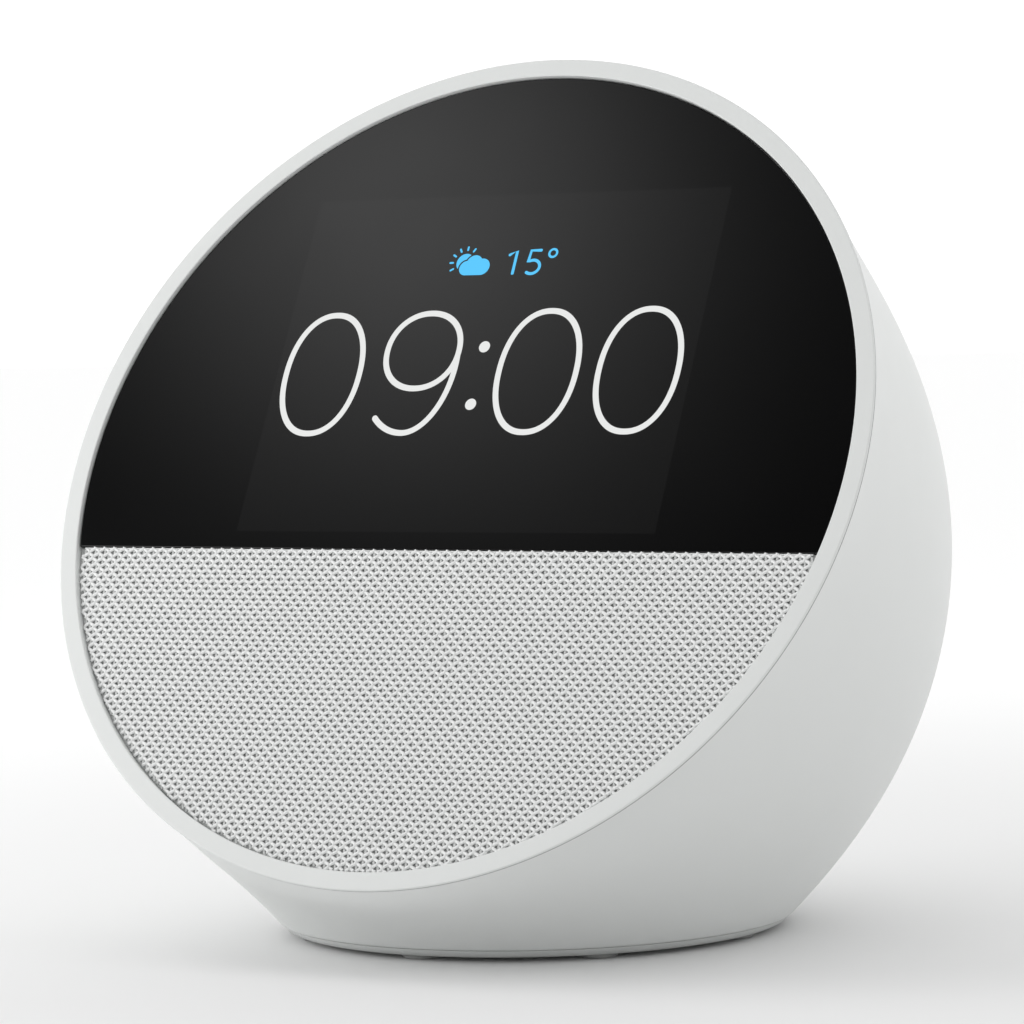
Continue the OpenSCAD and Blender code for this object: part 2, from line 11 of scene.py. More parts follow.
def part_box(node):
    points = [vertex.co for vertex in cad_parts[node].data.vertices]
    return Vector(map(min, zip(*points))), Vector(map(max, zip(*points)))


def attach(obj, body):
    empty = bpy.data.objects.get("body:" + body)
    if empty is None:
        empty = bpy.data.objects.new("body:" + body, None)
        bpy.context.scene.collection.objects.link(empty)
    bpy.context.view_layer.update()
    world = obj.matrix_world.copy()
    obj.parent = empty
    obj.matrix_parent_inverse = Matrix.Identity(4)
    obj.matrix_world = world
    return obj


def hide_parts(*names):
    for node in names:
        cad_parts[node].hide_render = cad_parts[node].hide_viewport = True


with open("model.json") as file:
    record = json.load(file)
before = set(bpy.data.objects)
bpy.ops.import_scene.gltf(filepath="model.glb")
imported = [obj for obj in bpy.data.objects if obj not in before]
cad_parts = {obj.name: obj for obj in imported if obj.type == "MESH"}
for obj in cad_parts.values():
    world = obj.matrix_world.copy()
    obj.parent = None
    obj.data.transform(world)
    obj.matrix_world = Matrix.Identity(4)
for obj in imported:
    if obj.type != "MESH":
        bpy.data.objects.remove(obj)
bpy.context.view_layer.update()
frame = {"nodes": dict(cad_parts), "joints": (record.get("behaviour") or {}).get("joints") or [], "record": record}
MM = 0.001


# ---------------------------------------------------------------- places read from the frame

def box_mm(node):
    """The low and high corners of a node's box."""
    low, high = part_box(node)
    return low / MM, high / MM


bezel_low, bezel_high = box_mm("front_bezel")
shell_low, shell_high = box_mm("rear_shell")
cone_axis = next(j["axis"] for j in frame["joints"] if j["name"] == "cone_travel")

TILT = math.atan2(cone_axis[2], -cone_axis[1])
FACE_R = (bezel_high.x - bezel_low.x) / 2
SEAM_Z = shell_high.z - FACE_R * math.cos(TILT)
SEAM_Y = shell_low.y + FACE_R * math.sin(TILT)
FOOT_Z = shell_low.z

RIGHT = Vector((1, 0, 0))
UP = Vector((0, math.sin(TILT), math.cos(TILT)))
OUT = Vector((0, -math.cos(TILT), math.sin(TILT)))
SEAM = Vector((0, SEAM_Y, SEAM_Z))
FACE_LIFT = 0.4
FACE = SEAM + FACE_LIFT * OUT        # centre of the front of the rim

# The shell's sections turn about the line where the seam plane meets the foot plane. The reaches are
# the control values of two Bezier curves: how far a section's back and front lie from that line.
HINGE_Y = SEAM_Y - (SEAM_Z - FOOT_Z) * math.tan(TILT)
SEAM_REACH = (SEAM_Z - FOOT_Z) / math.cos(TILT)
SWING = math.pi / 2 - TILT
BACK_REACH = [SEAM_REACH + FACE_R, 119.2, 136.8, 106.4, 81.7]
FRONT_REACH = [SEAM_REACH - FACE_R, 7.5, 16.7]
SIDE_TRIM = 0.07                     # how much narrower than a circle the middle section is, as a share
WALL = 2.2
FOOT_R = (BACK_REACH[-1] - FRONT_REACH[-1]) / 2
FOOT_Y = HINGE_Y + (BACK_REACH[-1] + FRONT_REACH[-1]) / 2

RIM_W = 2.4
OPENING_R = FACE_R - RIM_W
RECESS = 0.45
SPLIT_Y = -11.9
BUTTON_U = 0.17
BUTTON_STEP = math.radians(17)
BUTTON_R = 4.5


def on_face(x, y, out=0.0):
    """A point given on the tilted face: right, up, and out of it."""
    return FACE + x * RIGHT + y * UP + out * OUT


def between(controls, u):
    """A Bezier curve through the first and last control value."""
    values = list(controls)
    while len(values) > 1:
        values = [a * (1 - u) + b * u for a, b in zip(values, values[1:])]
    return values[0]


def shell_point(u, a, inset=0.0):
    """u runs from the seam to the foot, a from the back round to the front."""
    turn = SWING * (1 - u)
    back = between(BACK_REACH, u) - inset
    front = between(FRONT_REACH, u) + inset
    trim = 1 - 4 * SIDE_TRIM * u * (1 - u)
    half_w = (back - front + 2 * inset) / 2 * trim - inset
    reach = (back + front) / 2 + (back - front) / 2 * math.cos(a)
    return Vector((half_w * math.sin(a), HINGE_Y + reach * math.cos(turn), FOOT_Z + reach * math.sin(turn)))


def shell_normal(u, a):
    """The direction straight out of the shell."""
    along = shell_point(u + 0.001, a) - shell_point(u - 0.001, a)
    around = shell_point(u, a + 0.002) - shell_point(u, a - 0.002)
    return around.cross(along).normalized()


def on_shell(u, a):
    """A placing function for things that stand on the shell: x to its right, y up, out along its normal."""
    base, out = shell_point(u, a), shell_normal(u, a)
    right = Vector((0, 0, 1)).cross(out).normalized()
    up = out.cross(right)
    return lambda x, y, h: base + x * right + y * up + h * out


def standing(x0, y0):
    """A placing function for upright things centred on x0, y0."""
    return lambda x, y, h: Vector((x0 + x, y0 + y, h))


# ---------------------------------------------------------------- mesh helpers

def build(points, faces, crease=30):
    """A mesh from millimetre points, with smooth faces and sharp edges above crease degrees."""
    bm = bmesh.new()
    verts = [bm.verts.new(Vector(p) * MM) for p in points]
    for face in faces:
        bm.faces.new([verts[i] for i in face])
    bmesh.ops.remove_doubles(bm, verts=bm.verts, dist=1e-7)
    bmesh.ops.recalc_face_normals(bm, faces=bm.faces)
    mesh = bpy.data.meshes.new("mesh")
    bm.to_mesh(mesh)
    bm.free()
    for polygon in mesh.polygons:
        polygon.use_smooth = True
    mesh.set_sharp_from_angle(angle=math.radians(crease))
    return mesh


def piece(name, mesh, slot, body="housing", instead_of=(), finish=None):
    """An object that rides on a body, in its slot's material unless it has a finish of its own."""
    obj = bpy.data.objects.new(name, mesh)
    mesh.name = name
    bpy.context.scene.collection.objects.link(obj)
    mesh.materials.append(finish or MATERIALS[slot])
    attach(obj, body)
    if instead_of:
        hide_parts(*instead_of)
    return obj


def loft(rings, closed=True):
    """Points and faces of a skin over rings of equal length; closed joins the last ring to the first."""
    n = len(rings[0])
    points = [p for ring in rings for p in ring]
    faces = []
    for k in range(len(rings) if closed else len(rings) - 1):
        a, b = k * n, (k + 1) % len(rings) * n
        faces += [(a + i, a + (i + 1) % n, b + (i + 1) % n, b + i) for i in range(n)]
    return points, faces


def lathe(profile, place, segments=96, closed=False):
    """A profile of (radius, height) pairs turned about the placing function's own axis."""
    angles = [2 * math.pi * i / segments for i in range(segments)]
    rings = [[place(r * math.cos(t), r * math.sin(t), h) for t in angles] for r, h in profile]
    points, faces = loft(rings, closed)
    if not closed:
        for ring in (0, len(rings) - 1):
            if profile[ring][0] > 0:
                faces.append(tuple(ring * segments + i for i in range(segments)))
    faces = [f for f in faces if len({tuple(round(c, 6) for c in points[i]) for i in f}) > 2]
    return points, faces


def merge(*parts):
    """Several (points, faces) pairs as one."""
    points, faces = [], []
    for some_points, some_faces in parts:
        start = len(points)
        points += some_points
        faces += [tuple(start + i for i in face) for face in some_faces]
    return points, faces


def arc(cx, cy, r, start, end, steps=6):
    """Points of an arc in a profile, angles in degrees."""
    angles = [math.radians(start + (end - start) * i / steps) for i in range(steps + 1)]
    return [(cx + r * math.cos(t), cy + r * math.sin(t)) for t in angles]


def cut(obj, cutter_mesh):
    """Cuts the cutter's volume out of obj and bakes the result."""
    cutter = bpy.data.objects.new("cutter", cutter_mesh)
    bpy.context.scene.collection.objects.link(cutter)
    modifier = obj.modifiers.new("cut", "BOOLEAN")
    modifier.operation = "DIFFERENCE"
    modifier.solver = "EXACT"
    modifier.object = cutter
    graph = bpy.context.evaluated_depsgraph_get()
    mesh = bpy.data.meshes.new_from_object(obj.evaluated_get(graph))
    obj.modifiers.clear()
    obj.data = mesh
    bpy.data.objects.remove(cutter)
    mesh.set_sharp_from_angle(angle=math.radians(30))


# ---------------------------------------------------------------- materials

WAVE_SCALE = 0.314   # the wave texture's scale for one band per metre


class Nodes:
    """Short names for the few shader nodes that the materials share."""

    def __init__(self, name):
        self.material = bpy.data.materials.new(name)
        self.material.use_nodes = True
        self.tree = self.material.node_tree
        self.shader = self.tree.nodes["Principled BSDF"]
        self.coords = self.new("ShaderNodeTexCoord").outputs["Object"]

    def new(self, kind, **settings):
        node = self.tree.nodes.new(kind)
        for key, value in settings.items():
            setattr(node, key, value)
        return node

    def link(self, a, b):
        self.tree.links.new(a, b)

    def set(self, **values):
        for key, value in values.items():
            self.shader.inputs[key.replace("_", " ")].default_value = value

    def noise(self, size_mm, detail=2.0, source=None):
        node = self.new("ShaderNodeTexNoise")
        node.inputs["Scale"].default_value = 1 / (size_mm * MM)
        node.inputs["Detail"].default_value = detail
        self.link(source or self.coords, node.inputs["Vector"])
        return node.outputs["Fac"]

    def waves(self, size_mm, direction="X", distortion=0.0):
        node = self.new("ShaderNodeTexWave", bands_direction=direction)
        node.inputs["Scale"].default_value = WAVE_SCALE / (size_mm * MM)
        node.inputs["Distortion"].default_value = distortion
        self.link(self.coords, node.inputs["Vector"])
        return node.outputs["Fac"]

    def spread(self, fac, low, high):
        """Maps the middle of a pattern's range to low..high."""
        node = self.new("ShaderNodeMapRange")
        node.inputs["From Min"].default_value = 0.3
        node.inputs["From Max"].default_value = 0.7
        node.inputs["To Min"].default_value = low
        node.inputs["To Max"].default_value = high
        self.link(fac, node.inputs["Value"])
        return node.outputs["Result"]

    def blend(self, fac, a, b):
        node = self.new("ShaderNodeMix", data_type="RGBA")
        self.link(fac, node.inputs["Factor"])
        node.inputs[6].default_value = (*a, 1)
        node.inputs[7].default_value = (*b, 1)
        return node.outputs[2]

    def bump(self, height, depth_mm, strength=1.0):
        node = self.new("ShaderNodeBump")
        node.inputs["Distance"].default_value = depth_mm * MM
        node.inputs["Strength"].default_value = strength
        self.link(height, node.inputs["Height"])
        self.link(node.outputs["Normal"], self.shader.inputs["Normal"])

    def colour(self, output):
        self.link(output, self.shader.inputs["Base Color"])

    def roughness(self, output):
        self.link(output, self.shader.inputs["Roughness"])


def tint(colour, share):
    """A colour made darker or lighter by a share."""
    return tuple(c * share for c in colour)


def mottled(name, colour, rough, grain_mm=0.25, depth_mm=0.006, variation=0.03, **sockets):
    """A moulded surface: fine grain in the bump, slow drift in colour and roughness."""
    n = Nodes(name)
    n.colour(n.blend(n.noise(14, 3), tint(colour, 1 - variation), tint(colour, 1 + variation)))
    n.roughness(n.spread(n.noise(5, 2), rough - 0.03, rough + 0.03))
    n.bump(n.noise(grain_mm, 3), depth_mm)
    n.set(**sockets)
    return n.material


def metal(name, colour, rough, brushed_mm=0.15):
    """Sheet or turned metal with fine brush marks."""
    n = Nodes(name)
    stretched = n.new("ShaderNodeMapping")
    stretched.inputs["Scale"].default_value = (1, 0.06, 1)
    n.link(n.coords, stretched.inputs["Vector"])
    marks = n.noise(brushed_mm, 3, stretched.outputs["Vector"])
    n.colour(n.blend(marks, tint(colour, 0.9), tint(colour, 1.06)))
    n.roughness(n.spread(marks, rough - 0.06, rough + 0.08))
    n.bump(marks, 0.004)
    n.set(Metallic=1.0)
    return n.material


def board_mask():
    """Circuit board: solder mask with traces and pads showing through."""
    n = Nodes("board")
    cells = n.new("ShaderNodeTexVoronoi", distance="MANHATTAN", feature="F1")
    cells.inputs["Scale"].default_value = 1 / (1.6 * MM)
    n.link(n.coords, cells.inputs["Vector"])
    n.colour(n.blend(n.spread(cells.outputs["Distance"], 0, 1), (0.10, 0.30, 0.16), (0.02, 0.13, 0.07)))
    n.roughness(n.spread(n.noise(0.6), 0.28, 0.4))
    n.bump(cells.outputs["Distance"], 0.02)
    return n.material


def woven(name, light, dark, pitch_mm):
    """Two crossing sets of yarns, with bump."""
    n = Nodes(name)
    product = n.new("ShaderNodeMath", operation="MULTIPLY")
    n.link(n.waves(pitch_mm, "X", 0.4), product.inputs[0])
    n.link(n.waves(pitch_mm, "Z", 0.4), product.inputs[1])
    n.colour(n.blend(product.outputs[0], dark, light))
    n.bump(product.outputs[0], 0.08)
    n.set(Roughness=0.9, Sheen_Weight=0.3, Sheen_Roughness=0.5)
    return n.material


def yarn():
    """White multifilament yarn: fine fibres along it and a soft sheen."""
    n = Nodes("knit")
    fibres = n.noise(0.07, 3)
    n.colour(n.blend(n.noise(2.2, 2), (0.86, 0.87, 0.865), (0.90, 0.905, 0.90)))
    n.roughness(n.spread(fibres, 0.62, 0.8))
    n.bump(fibres, 0.03)
    n.set(Sheen_Weight=0.25, Sheen_Roughness=0.4)
    return n.material


def banded(name, light, dark, pitch_mm, direction, rough, metallic=0.0):
    """Windings or printed conductors: even bands with a little drift."""
    n = Nodes(name)
    bands = n.waves(pitch_mm, direction, 0.2)
    n.colour(n.blend(bands, dark, light))
    n.bump(bands, 0.03)
    n.roughness(n.spread(n.noise(1.0), rough - 0.05, rough + 0.05))
    n.set(Metallic=metallic)
    return n.material


LCD_LEFT, LCD_RIGHT, LCD_BOTTOM, LCD_TOP = -29.2, 30.5, -9.6, 37.2
LCD_BLUR = 0.08


def black_glass():
    """Printed black glass. The display behind it is a faint shade lighter than the print."""
    n = Nodes("cover_glass")

    def across(direction, middle, half):
        """1 within half of middle along a direction, with a soft edge, else 0."""
        dot = n.new("ShaderNodeVectorMath", operation="DOT_PRODUCT")
        dot.inputs[1].default_value = direction
        n.link(n.coords, dot.inputs[0])
        off = n.new("ShaderNodeMath", operation="SUBTRACT")
        off.inputs[1].default_value = (middle + FACE.dot(direction)) * MM
        n.link(dot.outputs["Value"], off.inputs[0])
        size = n.new("ShaderNodeMath", operation="ABSOLUTE")
        n.link(off.outputs[0], size.inputs[0])
        edge = n.new("ShaderNodeMapRange", interpolation_type="SMOOTHSTEP")
        edge.inputs["From Min"].default_value = (half - LCD_BLUR) * MM
        edge.inputs["From Max"].default_value = (half + LCD_BLUR) * MM
        edge.inputs["To Min"].default_value = 1
        edge.inputs["To Max"].default_value = 0
        n.link(size.outputs[0], edge.inputs["Value"])
        return edge.outputs["Result"]

    window = n.new("ShaderNodeMath", operation="MULTIPLY")
    n.link(across(RIGHT, (LCD_LEFT + LCD_RIGHT) / 2, (LCD_RIGHT - LCD_LEFT) / 2), window.inputs[0])
    n.link(across(UP, (LCD_BOTTOM + LCD_TOP) / 2, (LCD_TOP - LCD_BOTTOM) / 2), window.inputs[1])
    n.colour(n.blend(window.outputs[0], (0.0012, 0.0012, 0.0013), (0.0049, 0.0049, 0.005)))
    n.roughness(n.spread(n.noise(20, 1), 0.07, 0.09))
    n.set(IOR=1.5, Specular_IOR_Level=0.25)
    return n.material


def glowing(name, colour, strength):
    """Lit pixels, with the display's fine pixel grid in their brightness."""
    n = Nodes(name)
    grid = n.waves(0.09, "X")
    lit = n.blend(grid, tint(colour, 0.97), colour)
    n.link(lit, n.shader.inputs["Emission Color"])
    n.colour(n.blend(grid, tint(colour, 0.02), tint(colour, 0.03)))
    n.set(Emission_Strength=strength, Roughness=0.4)
    return n.material


MATERIALS = {
    "shell_plastic": mottled("shell_plastic", (0.76, 0.775, 0.765), 0.46, 0.3, 0.004, 0.008),
    "rim_plastic": mottled("rim_plastic", (0.73, 0.745, 0.735), 0.42, 0.3, 0.003, 0.006),
    "cover_glass": black_glass(),
    "knit": yarn(),
    "dark_plastic": mottled("dark_plastic", (0.035, 0.035, 0.038), 0.55, 0.2, 0.01, 0.08),
    "clear_adhesive": mottled("clear_adhesive", (0.7, 0.72, 0.72), 0.2, 0.6, 0.003),
    "foam_tape": mottled("foam_tape", (0.03, 0.03, 0.03), 0.95, 0.15, 0.05, 0.2),
    "lcd_stack": mottled("lcd_stack", (0.04, 0.045, 0.05), 0.12, 0.8, 0.001, 0.1, Coat_Weight=0.5),
    "light_box": mottled("light_box", (0.86, 0.87, 0.85), 0.5, 0.12, 0.004),
    "tin_plate": metal("tin_plate", (0.66, 0.66, 0.63), 0.36),
    "flex_film": banded("flex_film", (0.55, 0.30, 0.07), (0.30, 0.15, 0.03), 0.5, "X", 0.35),
    "board": board_mask(),
    "chip": mottled("chip", (0.03, 0.03, 0.033), 0.6, 0.1, 0.008, 0.12),
    "screw_steel": metal("screw_steel", (0.60, 0.61, 0.63), 0.3, 0.08),
    "spreader": metal("spreader", (0.78, 0.79, 0.80), 0.38, 0.2),
    "connector": mottled("connector", (0.82, 0.79, 0.70), 0.45, 0.2, 0.004),
    "cone_paper": mottled("cone_paper", (0.045, 0.045, 0.048), 0.85, 0.35, 0.04, 0.15),
    "surround_rubber": mottled("surround_rubber", (0.03, 0.03, 0.032), 0.7, 0.2, 0.01, 0.08),
    "spider_cloth": woven("spider_cloth", (0.68, 0.50, 0.22), (0.35, 0.24, 0.09), 0.35),
    "copper_coil": banded("copper_coil", (0.80, 0.40, 0.18), (0.45, 0.18, 0.07), 0.2, "Z", 0.25, 1.0),
    "ferrite": mottled("ferrite", (0.09, 0.09, 0.095), 0.75, 0.3, 0.02, 0.1),
    "plated_iron": metal("plated_iron", (0.62, 0.63, 0.65), 0.32, 0.25),
    "wire_sleeve": mottled("wire_sleeve", (0.09, 0.015, 0.015), 0.5, 0.4, 0.006, 0.05),
    "soft_seal": mottled("soft_seal", (0.16, 0.16, 0.165), 0.7, 0.2, 0.01),
    "foot_rubber": mottled("foot_rubber", (0.34, 0.345, 0.34), 0.75, 0.2, 0.015, 0.04),
    "pad": mottled("pad", (0.40, 0.50, 0.62), 0.8, 0.3, 0.02, 0.06),
}
DIGIT_WHITE = glowing("digit_white", (0.93, 0.94, 0.93), 0.84)
SKY_BLUE = glowing("sky_blue", (0.085, 0.56, 0.96), 1.0)
# The foot plate's grey is darker than the shell's plastic: painted shade for the shade under the shell.
FOOT_SHADED_GREY = mottled("foot_plastic_painted_shade", (0.61, 0.625, 0.615), 0.5, 0.3, 0.005, 0.01)
MARK_GREY = mottled("mark_grey", (0.36, 0.37, 0.37), 0.5, 0.2, 0.003, 0.03)
LINING = woven("grille_lining", (0.80, 0.81, 0.805), (0.56, 0.57, 0.565), 0.25)

for part in frame["record"]["subparts"]:
    for material_slot in frame["nodes"][part["node"]].material_slots:
        material_slot.material = MATERIALS[part["material_slot"]]


# ---------------------------------------------------------------- the shell

SEAM_LIP, FOOT_LIP = 0.06, 0.3


def lip(distance, r):
    """How far a rounded edge of radius r lies in, at a distance from its face."""
    if distance >= r:
        return 0.0
    return r - math.sqrt(max(0.0, r * r - (r - distance) ** 2))


def shell_ring(u, segments, inset=0.0, shift=0.0):
    """One ring around the shell. The outside is rounded in at its two ends."""
    ring = []
    for i in range(segments):
        a = 2 * math.pi * i / segments
        point = shell_point(u, a, inset)
        if inset == 0:
            behind = (SEAM - point).dot(OUT)
            point = shell_point(u, a, lip(behind, SEAM_LIP) + lip(point.z - FOOT_Z, FOOT_LIP))
        ring.append(point - shift * OUT)
    return ring


def rear_shell():
    """The casing with its rounded edges and inner wall, and the holes drilled through it."""
    segments = 288
    step_in, step_back = 1.0, 1.6
    # The rows crowd together at the two rounded ends
    near = [0.0004 * k * k for k in range(12)]
    middle = [near[-1] + (1 - 2 * near[-1]) * k / 72 for k in range(1, 72)]
    rows = near + middle + [1 - u for u in reversed(near)]
    rings = [shell_ring(u, segments) for u in rows]
    # Then the inner wall from the foot up, and the step that takes the rim
    rings += [shell_ring(1 - 0.8 * k / 12, segments, WALL) for k in range(13)]
    rings += [shell_ring(0, segments, WALL, step_back), shell_ring(0, segments, step_in, step_back)]
    rings.append(shell_ring(0, segments, step_in))
    shell = piece("shell_casing", build(*loft(rings)), "shell_plastic", instead_of=["rear_shell"])

    def drill(place, r, low=-9, high=3):
        return lathe([(0, low), (r, low), (r, high), (0, high)], place, 64)

    button_hole_r, microphone_hole_r = BUTTON_R + 0.3, 0.5
    holes = [drill(on_shell(BUTTON_U, k * BUTTON_STEP), button_hole_r) for k in (-1, 0, 1)]
    holes += [drill(on_shell(BUTTON_U, k * BUTTON_STEP / 2), microphone_hole_r) for k in (-1, 1)]
    collar_low, collar_high = box_mm("jack_collar")
    jack_z = (collar_low.z + collar_high.z) / 2
    jack_r = (collar_high.x - collar_low.x) / 2 + 0.1

    def inlet(x, y, h):
        return Vector((x, h, jack_z + y))

    holes.append(drill(inlet, jack_r, collar_low.y - 6, collar_high.y + 12))
    cut(shell, build(*merge(*holes)))


# ---------------------------------------------------------------- the rim and the glass

SEAM_TOP, SEAM_LOW = 0.26, FACE_LIFT   # the gap behind the rim, as depths below its front


def rim_seam_shade():
    """A dark ring in the gap behind the rim: painted shade, a dark thing set where the seam's shadow falls, that
    shows as a thin line.
    """
    outer, inner = FACE_R - 0.02, FACE_R - 1.1
    profile = [(outer, -SEAM_TOP), (outer, -SEAM_LOW), (inner, -SEAM_LOW), (inner, -SEAM_TOP)]
    # Painted shade: this dark ring stands in for the shadow in the seam.
    piece("rim_seam_shade", build(*lathe(profile, on_face, 360, closed=True)), "soft_seal")


def front_rim():
    """The plain ring around the face, its front edges rounded and its inner wall down to the ledge."""
    outer_r, inner_r, support = 0.2, 0.15, 0.06
    ledge, ledge_thick = 1.75, 0.55
    skirt_r, skirt_low = FACE_R - 1.2, 1.8
    wall_r, ledge_r = OPENING_R + 0.1, OPENING_R - 2.2
    profile = [(FACE_R - outer_r - support, 0)] + arc(FACE_R - outer_r, -outer_r, outer_r, 90, 0, 6)
    profile += [(FACE_R, -SEAM_TOP), (skirt_r, -SEAM_TOP), (skirt_r, -skirt_low), (wall_r, -skirt_low)]
    profile += [(wall_r, -ledge - ledge_thick), (ledge_r, -ledge - ledge_thick)]
    profile += [(ledge_r, -ledge), (OPENING_R, -ledge)]
    profile += arc(OPENING_R + inner_r, -inner_r, inner_r, 180, 90, 6)
    profile += [(OPENING_R + inner_r + support, 0)]
    rings = lathe(profile, on_face, 360, closed=True)
    piece("front_rim", build(*rings), "rim_plastic", instead_of=["front_bezel"])


def plate_outline(r, bottom, steps=160):
    """Outline of a disc of radius r above a level line."""
    start = math.asin(bottom / r)
    end = math.pi - start
    angles = [start + (end - start) * i / steps for i in range(steps + 1)]
    return [(r * math.cos(t), r * math.sin(t)) for t in angles]


def cover_glass():
    """The glass: a disc cut straight below, with its front edge ground to a small round."""
    bevel, thick, clear, support = 0.05, 1.1, 0.2, 0.06
    r = OPENING_R - clear
    flat = plate_outline(r - bevel - support, SPLIT_Y + bevel + support)
    rings = [[on_face(x, y, -RECESS) for x, y in flat]]
    for k in range(5):
        t = math.radians(90 * k / 4)
        inset = bevel * (1 - math.sin(t))
        down = RECESS + bevel * (1 - math.cos(t))
        rings.append([on_face(x, y, -down) for x, y in plate_outline(r - inset, SPLIT_Y + inset)])
    rings.append([on_face(x, y, -RECESS - thick) for x, y in plate_outline(r, SPLIT_Y)])
    points, faces = loft(rings, closed=False)
    n = len(rings[0])
    faces.append(tuple(range(n)))
    faces.append(tuple(range(len(points) - n, len(points))))
    piece("glass_front", build(points, faces, 40), "cover_glass", instead_of=["display_glass"])


# ---------------------------------------------------------------- what the display shows

PIXELS_OUT = -RECESS + 0.008   # a hair in front of the glass


def ribbon(path, width, closed=False):
    """A flat stroke with round ends along a path on the face."""
    count = len(path)
    left, right = [], []
    for i, (x, y) in enumerate(path):
        before = path[(i - 1) % count] if closed or i else path[i]
        after = path[(i + 1) % count] if closed or i < count - 1 else path[i]
        along = Vector((after[0] - before[0], after[1] - before[1])).normalized()
        left.append((x - along.y * width / 2, y + along.x * width / 2))
        right.append((x + along.y * width / 2, y - along.x * width / 2))
    if closed:
        points = [on_face(x, y, PIXELS_OUT) for x, y in left + right]
        return points, [(i, (i + 1) % count, count + (i + 1) % count, count + i) for i in range(count)]

    def cap(end, inner):
        angle = math.atan2(end[1] - inner[1], end[0] - inner[0])
        return arc(end[0], end[1], width / 2, math.degrees(angle) - 90, math.degrees(angle) + 90, 8)[1:-1]

    last = cap(path[-1], path[-2])
    first = cap(path[0], path[1])
    points = [on_face(x, y, PIXELS_OUT) for x, y in left + right + last + first]
    faces = [(i, i + 1, count + i + 1, count + i) for i in range(count - 1)]
    tail = 2 * count
    faces.append((2 * count - 1, *range(tail, tail + len(last)), count - 1))
    faces.append((0, *range(tail + len(last), tail + len(last) + len(first)), count))
    return points, faces


def oval(cx, cy, half_w, half_h, power=2.0, steps=72, start=0.0, end=360.0):
    """Points of a superellipse from one angle to another."""
    found = []
    for i in range(steps + 1):
        t = math.radians(start + (end - start) * i / steps)
        c, s = math.cos(t), math.sin(t)
        found.append((cx + half_w * math.copysign(abs(c) ** (2 / power), c),
                      cy + half_h * math.copysign(abs(s) ** (2 / power), s)))
    return found


def disc(cx, cy, r, steps=40):
    """A flat lit dot."""
    outline = oval(cx, cy, r, r, 2, steps)
    points = [on_face(x, y, PIXELS_OUT) for x, y in [(cx, cy)] + outline]
    return points, [(0, i + 1, i + 2) for i in range(steps)]


def clock():
    """Four thin digits and a colon."""
    stroke, middle, half_h, half_w = 0.8, 12.25, 8.33, 5.5

    def zero(x):
        return ribbon(oval(x, middle, half_w, half_h, 2.18, 96)[:-1], stroke, closed=True)

    bowl_r = 5.25
    nine_x = -8.2
    bowl = ribbon(oval(nine_x, middle + half_h - bowl_r, bowl_r, bowl_r, 2.1, 72)[:-1], stroke, closed=True)
    tail_y = 13.2
    side = oval(nine_x - 0.25, tail_y, 5.52, tail_y - middle + half_h, 2, 40, 8, -90)
    hook = oval(nine_x - 0.25, tail_y, 7, tail_y - middle + half_h, 2, 20, 270, 231)[1:]
    tail = ribbon(side + hook, stroke)
    colon_x, dot_r = 0.62, 0.78
    dots = [disc(colon_x, middle + 3.5, dot_r), disc(colon_x, middle - 4.45, dot_r)]
    return merge(zero(-22.3), bowl, tail, *dots, zero(9.05), zero(23.2))


def exit_distance(origin, angle, discs):
    """How far a ray from origin runs before it has left the last of the discs."""
    direction = Vector((math.cos(angle), math.sin(angle)))
    far = 0.0
    for cx, cy, r in discs:
        to = Vector((cx, cy)) - Vector(origin)
        along = to.dot(direction)
        off = to.length_squared - along * along
        if off < r * r:
            far = max(far, along + math.sqrt(r * r - off))
    return far


def weather():
    """A sun behind a cloud, and a temperature."""
    # The cloud is three discs, and a row of discs that closes its underside
    cloud = [(-4.85, 26.92, 1.03), (-3.84, 27.54, 1.17), (-2.66, 27.05, 1.16)]
    floor_discs = [(-4.85 + 0.22 * k, 26.92 + 0.012 * k, 1.03 + 0.013 * k) for k in range(11)]
    heart = (-3.75, 26.95)
    steps = 96
    rim = []
    for i in range(steps):
        t = 2 * math.pi * i / steps
        reach = exit_distance(heart, t, cloud + floor_discs)
        rim.append(on_face(heart[0] + reach * math.cos(t), heart[1] + reach * math.sin(t), PIXELS_OUT))
    centre = on_face(*heart, PIXELS_OUT)
    shapes = [([centre] + rim, [(0, i + 1, (i + 1) % steps + 1) for i in range(steps)])]

    # The sun shows where it lies outside the cloud, with a gap between them
    sun, sun_r, gap = (-5.22, 27.71), 1.24, 0.2
    ray_start, ray_end, ray_w = 1.77, 2.17, 0.27
    wide = [(x, y, r + gap) for x, y, r in cloud]
    strip = []
    for i in range(61):
        t = math.radians(45 + 3 * i)
        inner = exit_distance(sun, t, wide)
        if inner < sun_r:
            for r in (inner, sun_r):
                strip.append(on_face(sun[0] + r * math.cos(t), sun[1] + r * math.sin(t), PIXELS_OUT))
    shapes.append((strip, [(k, k + 1, k + 3, k + 2) for k in range(0, len(strip) - 2, 2)]))
    for angle in range(60, 211, 30):
        c, s = math.cos(math.radians(angle)), math.sin(math.radians(angle))
        shapes.append(ribbon([(sun[0] + r * c, sun[1] + r * s) for r in (ray_start, ray_end)], ray_w))

    # One, five and the degree ring
    stroke, ring_stroke = 0.42, 0.32
    shapes.append(ribbon([(1.12, 28.62), (2.08, 29.14), (2.08, 26.0)], stroke))
    bowl = oval(4.72, 26.83, 1.06, 0.95, 2, 24, 118, -128)
    shapes.append(ribbon([(5.5, 29.15), (4.12, 29.15), (3.98, 27.5), *bowl], stroke))
    shapes.append(ribbon(oval(7.32, 28.7, 0.55, 0.55, 2, 36)[:-1], ring_stroke, closed=True))
    return merge(*shapes)


# ---------------------------------------------------------------- the knitted grille

